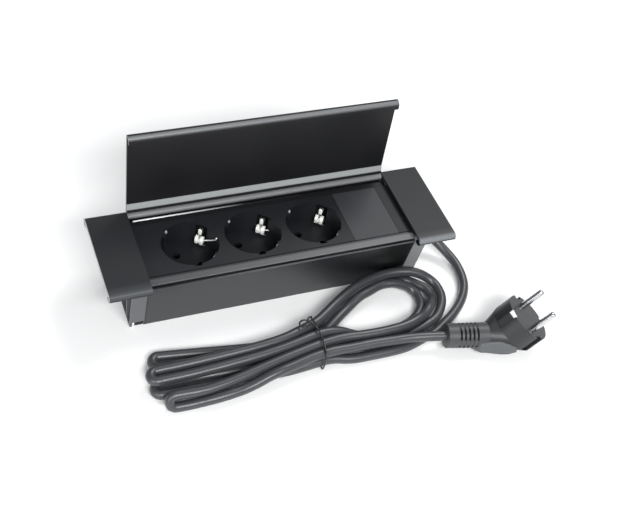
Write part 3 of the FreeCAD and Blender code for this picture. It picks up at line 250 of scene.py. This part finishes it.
# The deck's modules and fillers are moulded plastic with a fine even grain, and snap in between
# the rails. The blank module is a shade lighter, with a dark seam at each end.
module_plastic = finish("module_plastic", (0.008, 0.009, 0.011), (0.011, 0.0125, 0.015),
                        rough=0.45, specular=0.3, grain=1400.0)
dress(module_plastic, "socket_module_1", "socket_module_2", "socket_module_3",
      "left_deck_filler", "right_deck_filler")
blank_plastic = finish("blank_plastic", (0.023, 0.0245, 0.028), (0.031, 0.033, 0.037),
                       rough=0.48, specular=0.4, grain=1400.0)
banded(blank_plastic, SEAM_AND_SHADE_BLACK, ("X", 0.0864, 0.0867))
banded(blank_plastic, (0.004, 0.004, 0.004), ("X", 0.0533, 0.0530))
dress(blank_plastic, "blank_module")

# Two ribs in each well's wall guide the plug. They are moulded with the module, and are painted
# light grey as a painted glint on their tops.
WELL_MIDDLES = (-0.060, -0.015, 0.030)
WELL_Y, DECK_TOP = 0.0014, 0.048
ALONG_Y = Matrix(((1, 0, 0, 0), (0, 0, 1, 0), (0, 1, 0, 0), (0, 0, 0, 1)))
RIB_OUTLINE = [(0.0202, -0.0022), (0.0189, -0.0026), (0.0190, -0.0008), (0.0198, -0.0002),
               (0.0202, -0.0002)]
RIB_HALF_WIDTH = 0.0009
RIB_ANGLES = (131, 311)


def at_well(middle, degrees):
    """The middle of a well's rim, turned about the well's axis."""
    return (Matrix.Translation((middle, WELL_Y, DECK_TOP))
            @ Matrix.Rotation(math.radians(degrees), 4, "Z"))


rib_glint = finish("rib_glint", (0.26, 0.27, 0.28), (0.36, 0.37, 0.38), rough=0.28,
                   specular=0.6, grain=700.0)
for number, middle in enumerate(WELL_MIDDLES, 1):
    grid = bmesh.new()
    for degrees in RIB_ANGLES:
        prism(grid, RIB_OUTLINE, -RIB_HALF_WIDTH, RIB_HALF_WIDTH,
              at_well(middle, degrees) @ ALONG_Y)
    add_piece(f"rim_glints_{number}", grid, rib_glint, bevel=0.0002)

# An earth contact is a sprung strap across each well. It ends in a rounded tongue, with a small
# box folded forward at its foot, of two cheeks and a back. Outlines are in metres from the rim.
STRAP_TURN = 50
TONGUE_RADIUS, TONGUE_MIDDLE = 0.0014, -0.0036
CHEEK = [(0.0186, -0.0152), (0.0152, -0.0156), (0.0148, -0.0120), (0.0160, -0.0100),
         (0.0186, -0.0096)]
BACK = [(0.0184, -0.0122), (0.0156, -0.0128), (0.0156, -0.0150), (0.0184, -0.0156)]
BOX = ((CHEEK, -0.0031, -0.0005), (CHEEK, 0.0009, 0.0031), (BACK, -0.0005, 0.0009))
strap_metal = finish("strap_metal", (0.34, 0.34, 0.33), (0.42, 0.42, 0.41), rough=0.30,
                     metallic=1.0, grain=600.0)
dress(strap_metal, "earth_clip_1", "earth_clip_2", "earth_clip_3")
# The contact pieces are painted near white, a painted highlight in place of their metal's
# reflection.
clip_metal = finish("clip_metal", (0.80, 0.80, 0.77), (0.92, 0.92, 0.88), rough=0.30,
                    specular=1.0, grain=600.0, bump=0.12, rough_spread=0.10, coat=0.4)
tongue = [(-0.0012, -0.0074), (0.0012, -0.0074)]
for degrees in range(0, 181, 30):
    angle = math.radians(degrees)
    tongue.append((TONGUE_RADIUS * math.cos(angle),
                   TONGUE_MIDDLE + TONGUE_RADIUS * math.sin(angle)))
for number, middle in enumerate(WELL_MIDDLES, 1):
    turn = at_well(middle, STRAP_TURN)
    grid = bmesh.new()
    prism(grid, tongue, start=0.0166, end=0.0174, axes=turn @ ALONG_X)
    for outline, start, end in BOX:
        prism(grid, outline, start, end, turn @ ALONG_Y)
    add_piece(f"earth_contact_{number}", grid, clip_metal, bevel=0.0004)

# An arm of sprung wire runs from the strap round the wall in the first well, and a short one in
# the second. Points are offsets from the middle of the well's rim.
ARMS = (
    (WELL_MIDDLES[0], (
        (0.0132, 0.0122, -0.0132), (0.0150, 0.0113, -0.0124), (0.0170, 0.0083, -0.0098),
        (0.0184, 0.0047, -0.0063), (0.0189, 0.0014, -0.0029), (0.0188, 0.0008, -0.0008))),
    (WELL_MIDDLES[1], (
        (0.0132, 0.0122, -0.0132), (0.0146, 0.0116, -0.0127), (0.0160, 0.0100, -0.0118))))


def draw_wire(name, lines, material, radius, rounding, steps=12):
    """A round wire along one or more smooth lines, each of them open or closed."""
    wire = bpy.data.curves.new(name, "CURVE")
    wire.dimensions = "3D"
    for points, closed in lines:
        spline = wire.splines.new("NURBS")
        spline.points.add(len(points) - 1)
        for point, spot in zip(spline.points, points):
            point.co = (*spot, 1)
        spline.order_u = 3
        spline.use_cyclic_u = closed
        spline.use_endpoint_u = not closed
    wire.resolution_u = steps
    wire.bevel_depth = radius
    wire.bevel_resolution = rounding
    wire.use_fill_caps = True
    wire.materials.append(material)
    piece = bpy.data.objects.new(name, wire)
    scene.collection.objects.link(piece)
    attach(piece, "housing")
    return piece


for number, (middle, offsets) in enumerate(ARMS, 1):
    points = [(middle + x, WELL_Y + y, DECK_TOP + z) for x, y, z in offsets]
    arm = draw_wire(f"contact_arm_{number}", [(points, False)], clip_metal, radius=0.00045,
                    rounding=3)

# The cover is one extruded profile, with a rolled nose at the front and a barrel at the rear. It
# is sawn in three: both ends are screwed to the caps, and the middle is the lid, on two pins.
SAWN_FROM_X, SAWN_END_X = 0.1239, 0.12415
CUT_METAL = (0.34, 0.345, 0.35)
cover_coat = finish("cover_coat", (0.015, 0.016, 0.018), (0.020, 0.0215, 0.024), rough=0.46,
                    specular=0.28)
# The nose carries a painted highlight, stronger on the right plate. The underside is painted in
# shade and the sawn ends are light.
banded(cover_coat, (0.048, 0.051, 0.055), ("Y", -0.0290, -0.0365))
banded(cover_coat, (0.16, 0.17, 0.18), ("Y", -0.0345, -0.0368), ("X", 0.090, 0.092))
banded(cover_coat, SEAM_AND_SHADE_BLACK, ("Z", 0.0496, 0.0484))
banded(cover_coat, CUT_METAL, ("X", -SAWN_FROM_X, -SAWN_END_X))
banded(cover_coat, CUT_METAL, ("X", SAWN_FROM_X, SAWN_END_X))
dress(cover_coat, "left_cover_plate", "right_cover_plate")
# The lid's inner face is nearly black. A ramp at its foot, its nose and its barrel carry painted
# highlights.
lid_coat = finish("lid_coat", (0.006, 0.006, 0.007), (0.009, 0.009, 0.010), rough=0.36,
                  specular=0.3)
banded(lid_coat, (0.28, 0.29, 0.295),
       ("Z", 0.0544, 0.0550), ("Z", 0.0592, 0.0588), ("Y", 0.0362, 0.0358))
banded(lid_coat, (0.14, 0.145, 0.15), ("Z", 0.1186, 0.1202), ("Y", 0.0346, 0.0332))
banded(lid_coat, (0.16, 0.165, 0.17),
       ("Z", 0.0486, 0.0502), ("Z", 0.0524, 0.0518), ("Y", 0.0352, 0.0340))
dress(lid_coat, "lid_panel")

# The plug's body is moulded round its pins, and the tapered relief round the cord. Both, and the
# gland at the channel's end, are satin rubbery plastic.
plug_plastic = finish("plug_plastic", (0.014, 0.015, 0.017), (0.020, 0.021, 0.024), rough=0.42,
                      specular=0.5, grain=1200.0)
dress(plug_plastic, "plug_body")
relief_rubber = finish("relief_rubber", (0.040, 0.042, 0.045), (0.050, 0.052, 0.056),
                       rough=0.45, specular=0.45)
dress(relief_rubber, "plug_strain_relief", "cord_gland")

# The pins are turned and nickelled. The earth contacts at the plug's sides are strips of the
# same metal: painted dark as shade in the body's grooves, with a painted highlight at both their
# tips.
TIP_HIGHLIGHT = (0.90, 0.90, 0.90)
pin_nickel = finish("pin_nickel", (0.62, 0.62, 0.64), (0.52, 0.52, 0.54), rough=0.20,
                    metallic=1.0, grain=400.0, bump=0.04)
dress(pin_nickel, "plug_pins")
contact_shade_and_highlight = finish("contact_shade_and_highlight", (0.03, 0.03, 0.032), (0.04, 0.04, 0.042), rough=0.35,
                        grain=400.0, bump=0.04)
banded(contact_shade_and_highlight, TIP_HIGHLIGHT, ("Z", 0.0305, 0.0311))
banded(contact_shade_and_highlight, TIP_HIGHLIGHT, ("X", 0.160, 0.162), ("Z", 0.0112, 0.0118))
dress(contact_shade_and_highlight, "plug_earth_contacts")

# A grip is raised along the foot of the plug's body, on the side to the front. Its outer face
# runs through pairs of an upper and a lower point, and its inner face is sunk in the body.
GRIP = [((0.1198, -0.1030, 0.0072), (0.1186, -0.1044, 0.0040)),
        ((0.1212, -0.1061, 0.0118), (0.1222, -0.1074, 0.0034)),
        ((0.1260, -0.1071, 0.0129), (0.1280, -0.1088, 0.0028)),
        ((0.1335, -0.1105, 0.0151), (0.1362, -0.1122, 0.0028)),
        ((0.1391, -0.1140, 0.0150), (0.1418, -0.1139, 0.0032)),
        ((0.1438, -0.1157, 0.0130), (0.1478, -0.1144, 0.0050))]
UPPER_DEPTH, LOWER_DEPTH, LOWER_LIFT = 0.0030, 0.0050, 0.0004
grip_plastic = finish("grip_plastic", (0.075, 0.079, 0.084), (0.092, 0.097, 0.103), rough=0.45,
                      specular=0.45)
grid = bmesh.new()
rings = []
for upper, lower in GRIP:
    rings.append([grid.verts.new(spot) for spot in (
        upper, lower, (lower[0], lower[1] + LOWER_DEPTH, lower[2] + LOWER_LIFT),
        (upper[0], upper[1] + UPPER_DEPTH, upper[2]))])
grid.faces.new(rings[0])
grid.faces.new(rings[-1][::-1])
for before, after in zip(rings, rings[1:]):
    for k in range(4):
        grid.faces.new((before[k], before[(k + 1) % 4], after[(k + 1) % 4], after[k]))
add_piece("plug_grip", grid, grip_plastic, bevel=0.0007)

# A plastic-covered wire ties the hank's waist. Its ring is closed, and its ends are twisted into
# a small loop that lies on top.
RING = [(0.0100, -0.0552, 0.0008), (0.0100, -0.0540, 0.0040), (0.0098, -0.0544, 0.0130),
        (0.0102, -0.0568, 0.0178), (0.0112, -0.0640, 0.0182), (0.0116, -0.0740, 0.0180),
        (0.0108, -0.0830, 0.0180), (0.0096, -0.0900, 0.0170), (0.0088, -0.0922, 0.0110),
        (0.0086, -0.0915, 0.0030), (0.0088, -0.0895, 0.0008), (0.0092, -0.0720, 0.0008)]
TWIST = [(0.0112, -0.0700, 0.0184), (0.0100, -0.0650, 0.0190), (0.0066, -0.0608, 0.0196),
         (0.0022, -0.0594, 0.0190), (-0.0002, -0.0618, 0.0182), (0.0012, -0.0654, 0.0180),
         (0.0056, -0.0652, 0.0186), (0.0098, -0.0612, 0.0190), (0.0104, -0.0576, 0.0184)]
tie_jacket = finish("tie_jacket", (0.010, 0.010, 0.011), (0.016, 0.016, 0.017), rough=0.3)
tie = draw_wire("wire_tie", [(RING, True), (TWIST, False)], tie_jacket, radius=0.0006,
                rounding=4, steps=8)
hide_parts("twist_tie")

# The cord is one smooth line in a rubbery jacket: a free lead through chosen points, then the
# hank. Rows of the hank are X, Y, height and heading in degrees, as in the source; rows at the
# tie are Y and heading, for the lower and the upper layer of strands.
CORD_DIAMETER = 0.007
LEAD_ROUTE = [
    (0.1145, 0.0039, 0.0190), (0.1213, 0.0020, 0.0180), (0.1271, -0.0014, 0.0156),
    (0.1324, -0.0068, 0.0118), (0.1372, -0.0146, 0.0085), (0.1406, -0.0238, 0.0064),
    (0.1415, -0.0335, 0.0049), (0.1400, -0.0433, 0.0041), (0.1357, -0.0525, 0.0037),
    (0.1279, -0.0618, 0.0036), (0.1176, -0.0704, 0.0036), (0.1052, -0.0779, 0.0036)]
ON_FLOOR, ON_TOP, ON_TOP_IN_FRONT = 0.0036, 0.0112, 0.0113      # heights of the bights' strands
TIE_X = 0.0100
LOWER_Z, UPPER_Z = 0.0051, 0.0127
TIE_LOW = [(-0.0590, 16), (-0.0672, 15), (-0.0769, 9.5), (-0.0862, 5)]
TIE_HIGH = [(-0.0604, 17), (-0.0692, 13.5), (-0.0776, 10), (-0.0857, 5)]
OUTER_LOOP = [
    (0.0288, -0.0495, 0.0120, 34), (0.0587, -0.0326, 0.0112, 20),
    (0.0950, -0.0284, 0.0112, -10), (0.1180, -0.0460, 0.0036, -90),
    (0.1096, -0.0648, 0.0036, -132), (0.0840, -0.0776, 0.0036, -162),
    (0.0580, -0.0818, 0.0036, 182)]
MIDDLE_LOOP = [
    (0.0349, -0.0430, 0.0036, 30), (0.0780, -0.0306, 0.0036, 2),
    (0.1022, -0.0350, 0.0036, -46), (0.1094, -0.0460, 0.0036, -90),
    (0.0980, -0.0660, 0.0094, -136), (0.0840, -0.0740, 0.0114, -160),
    (0.0600, -0.0776, 0.0116, 180)]
INNER_LOOP = [
    (0.0394, -0.0510, 0.0076, 33), (0.0580, -0.0418, 0.0112, 18),
    (0.0780, -0.0366, 0.0112, -4), (0.0996, -0.0494, 0.0040, -90),
    (0.0833, -0.0690, 0.0036, -158), (0.0580, -0.0735, 0.0036, 180)]
FRONT_STRAND = [
    (0.0880, -0.0845, 0.0036, 198), (0.0670, -0.0894, 0.0036, 183),
    (0.0370, -0.0892, 0.0036, 178)]
CLIMB = [(-0.0550, -0.0972, 0.0074, 7), (-0.0180, -0.0907, 0.0123, 11)]
TOP_STRAND = [(0.0377, -0.0854, 0.0118, 0), (0.0670, -0.0866, 0.0112, -4)]
BIGHT_RADIUS = 0.0043
RELIEF_LENGTH = 0.0296
PLUG_NECK = Vector((0.1289, -0.0979, 0.0103))
RELIEF_COURSE = Vector((-0.980, 0.194, 0.034)).normalized()
LONG_LEG = 2.5      # times as long as the leg that it meets
NO_TURN = 1e-9


def heading(degrees):
    return Vector((math.cos(math.radians(degrees)), math.sin(math.radians(degrees)), 0))


def run(points):
    return [(Vector(point[:3]), heading(point[3])) for point in points]


def backwards(places):
    return [(spot, -course) for spot, course in reversed(places)]


def at_tie(row, rows, height):
    return [(Vector((TIE_X, rows[row][0], height)), heading(rows[row][1]))]


def bight(x, y, tilt, rear_z, front_z):
    """A hairpin round the tip (x, y), from its rear strand to its front one."""
    rise = (rear_z - front_z) / 2
    across = heading(tilt + 90) * math.sqrt(BIGHT_RADIUS ** 2 - rise ** 2) + Vector((0, 0, rise))
    tip = Vector((x, y, (rear_z + front_z) / 2))
    middle = tip + heading(tilt) * BIGHT_RADIUS
    return [(middle - across, heading(tilt + 180)), (tip, across.normalized()),
            (middle + across, heading(tilt))]


lead_end = Vector(LEAD_ROUTE[-1])
lead_course = (lead_end - Vector(LEAD_ROUTE[-2])).normalized()
relief_end = PLUG_NECK + RELIEF_COURSE * RELIEF_LENGTH
places = [(lead_end + lead_course * CORD_DIAMETER, lead_course)] + run(FRONT_STRAND)
places += backwards(at_tie(3, TIE_LOW, LOWER_Z))
places += bight(-0.1045, -0.0798, tilt=-2, rear_z=ON_FLOOR, front_z=ON_FLOOR)
places += at_tie(2, TIE_LOW, LOWER_Z) + backwards(run(OUTER_LOOP))
places += backwards(at_tie(0, TIE_HIGH, UPPER_Z))
places += backwards(bight(-0.1060, -0.0743, tilt=0, rear_z=ON_TOP, front_z=ON_TOP))
places += at_tie(1, TIE_HIGH, UPPER_Z) + backwards(run(INNER_LOOP))
places += backwards(at_tie(1, TIE_LOW, LOWER_Z))
places += bight(-0.1005, -0.0574, tilt=-8, rear_z=ON_FLOOR, front_z=ON_FLOOR)
places += at_tie(0, TIE_LOW, LOWER_Z) + run(MIDDLE_LOOP)
places += backwards(at_tie(2, TIE_HIGH, UPPER_Z))
places += backwards(bight(-0.0985, -0.0938, tilt=-3, rear_z=ON_TOP_IN_FRONT,
                          front_z=ON_FLOOR))
places += run(CLIMB) + at_tie(3, TIE_HIGH, UPPER_Z) + run(TOP_STRAND)
places.append((relief_end + RELIEF_COURSE * CORD_DIAMETER, -RELIEF_COURSE))

# Each stretch between two places leaves the first along its heading and reaches the second along
# its own. Its two corners are half as far from their places as they are from each other.
corners = [Vector(point) for point in LEAD_ROUTE]
for (p, u), (q, v) in zip(places, places[1:]):
    chord = q - p
    rest = 2 * (1 - u.dot(v))
    along = chord.dot(u + v)
    if rest < NO_TURN:
        reach = chord.length_squared / (4 * chord.dot(v))
    else:
        reach = (math.sqrt(along ** 2 + rest * chord.length_squared) - along) / rest
    corners += [p + u * reach, q - v * reach]
corners.append(relief_end)

# Where a long leg of the line meets a short one, a further point on the long leg keeps the bend
# between them round.
cord_points = [corners[0]]
for before, corner, after in zip(corners, corners[1:], corners[2:]):
    come, go = corner - before, after - corner
    short = min(come.length, go.length)
    if come.length > LONG_LEG * short:
        cord_points.append(corner - come.normalized() * short)
    cord_points.append(corner)
    if go.length > LONG_LEG * short:
        cord_points.append(corner + go.normalized() * short)
cord_points.append(corners[-1])

cord_jacket = finish("cord_jacket", (0.028, 0.030, 0.034), (0.040, 0.043, 0.047), rough=0.37,
                     specular=0.6, grain=500.0, bump=0.06, rough_spread=0.05)
dress(cord_jacket, "cord_inner_end")
cord = draw_wire("mains_cord", [(cord_points, False)], cord_jacket, radius=CORD_DIAMETER / 2,
                 rounding=7, steps=10)
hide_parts("cord_lead", "cord_hank")

# The floor is a plain pale sheet that keeps the shadows near the strip and turns white to the
# camera further out. In glossy surfaces it shows as a faint glow.
FLOOR_HALF_SIZE = 3.0
FLOOR_TONE = (0.86, 0.86, 0.86, 1)
WHITENS_FROM, WHITE_BY = 0.16, 0.60     # distances from the middle of the strip
GLOW_IN_GLOSS = 0.15
paper = bpy.data.materials.new("paper")
paper.use_nodes = True
tree = paper.node_tree
shader = tree.nodes["Principled BSDF"]
shader.inputs["Base Color"].default_value = FLOOR_TONE
shader.inputs["Roughness"].default_value = 0.9
shader.inputs["Specular IOR Level"].default_value = 0.0
shader.inputs["Emission Color"].default_value = (1, 1, 1, 1)
ray = tree.nodes.new("ShaderNodeLightPath")
place = tree.nodes.new("ShaderNodeTexCoord")
away = tree.nodes.new("ShaderNodeVectorMath")
away.operation = "LENGTH"
tree.links.new(place.outputs["Object"], away.inputs[0])
white = tree.nodes.new("ShaderNodeMapRange")
white.inputs["From Min"].default_value = WHITENS_FROM
white.inputs["From Max"].default_value = WHITE_BY
tree.links.new(away.outputs["Value"], white.inputs["Value"])
mirrored = tree.nodes.new("ShaderNodeMath")
mirrored.operation = "MULTIPLY"
mirrored.inputs[1].default_value = GLOW_IN_GLOSS
tree.links.new(ray.outputs["Is Glossy Ray"], mirrored.inputs[0])
glow = tree.nodes.new("ShaderNodeMath")
glow.operation = "MULTIPLY_ADD"
for source, socket in ((ray.outputs["Is Camera Ray"], 0), (white.outputs["Result"], 1),
                       (mirrored.outputs["Value"], 2)):
    tree.links.new(source, glow.inputs[socket])
tree.links.new(glow.outputs["Value"], shader.inputs["Emission Strength"])
floor_mesh = bpy.data.meshes.new("floor")
grid = bmesh.new()
bmesh.ops.create_grid(grid, x_segments=1, y_segments=1, size=FLOOR_HALF_SIZE)
grid.to_mesh(floor_mesh)
grid.free()
floor_mesh.materials.append(paper)
floor = bpy.data.objects.new("floor", floor_mesh)
scene.collection.objects.link(floor)

# The surrounding is a pale, slightly cool white. It lights the strip weakly and shows as white
# behind it.
SURROUND_TONE = (0.93, 0.98, 1.0, 1)
SURROUND_LIGHT, SURROUND_SEEN = 0.30, 1.10
world = bpy.data.worlds.new("surround")
world.use_nodes = True
tree = world.node_tree
background = tree.nodes["Background"]
background.inputs["Color"].default_value = SURROUND_TONE
ray = tree.nodes.new("ShaderNodeLightPath")
level = tree.nodes.new("ShaderNodeMapRange")
level.inputs["To Min"].default_value = SURROUND_LIGHT
level.inputs["To Max"].default_value = SURROUND_SEEN
tree.links.new(ray.outputs["Is Camera Ray"], level.inputs["Value"])
tree.links.new(level.outputs["Result"], background.inputs["Strength"])
scene.world = world


# Three soft panels light it: one high at the rear right, a wide one above and behind the camera,
# and a weak one at the left.
def soft_panel(name, place, target, width, height, watts):
    light = bpy.data.lights.new(name, "AREA")
    light.shape = "RECTANGLE"
    light.size = width
    light.size_y = height
    light.energy = watts
    lamp = bpy.data.objects.new(name, light)
    scene.collection.objects.link(lamp)
    away = Vector(place) - Vector(target)
    lamp.matrix_world = (Matrix.Translation(place)
                         @ away.to_track_quat("Z", "Y").to_matrix().to_4x4())


soft_panel("top_light", place=(0.75, 0.45, 1.3), target=(0.0, 0.0, 0.0),
           width=0.7, height=0.5, watts=12.0)
soft_panel("front_light", place=(-0.05, -1.05, 1.00), target=(0.0, 0.0, 0.03),
           width=0.9, height=0.35, watts=20.0)
soft_panel("side_light", place=(-0.75, -0.60, 0.45), target=(-0.05, -0.03, 0.0),
           width=0.5, height=0.5, watts=4.0)
